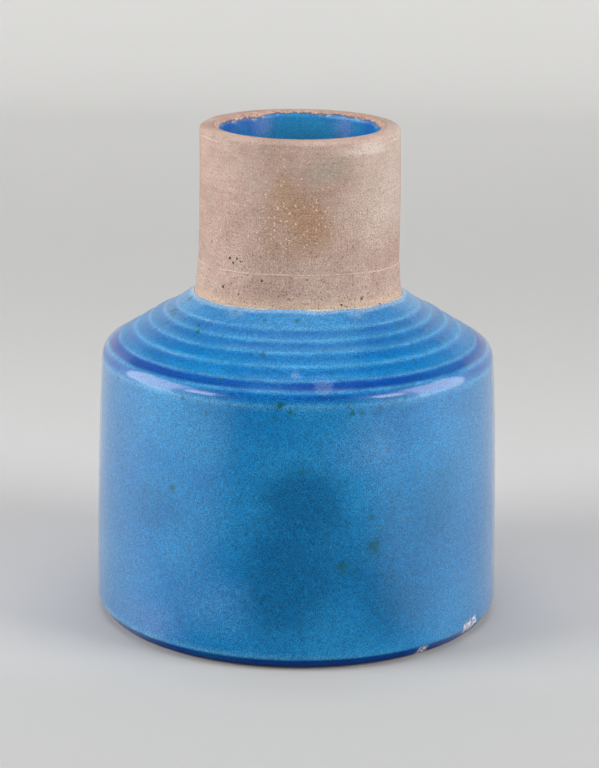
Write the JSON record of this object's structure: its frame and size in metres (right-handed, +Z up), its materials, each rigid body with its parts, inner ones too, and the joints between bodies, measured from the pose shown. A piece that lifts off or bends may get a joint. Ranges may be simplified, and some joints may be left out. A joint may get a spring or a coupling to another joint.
{
  "type": "vase",
  "caption": "Round stoneware vase with a straight glazed body, a ridged sloping shoulder and a tall bare cylindrical neck with an open mouth.",
  "frame": {"origin": "middle of the foot, on the plane that the foot ring stands on", "axes": "+Z up along the axis that the pot was turned about; +X and +Y are any two square directions, because the clay is round"},
  "size_m": [0.136, 0.136, 0.165],
  "materials": {
    "bare_stoneware": "matt, speckled with grog",
    "joint_slip": "matt",
    "blue_glaze": "gloss, mottled",
    "lining_glaze": "gloss, mottled"
  },
  "bodies": {
    "root": {"body": "bare_stoneware", "joint_slip": "joint_slip", "neck_collar": "bare_stoneware", "outer_glaze": "blue_glaze", "inner_glaze": "lining_glaze"}
  },
  "joints": []
}
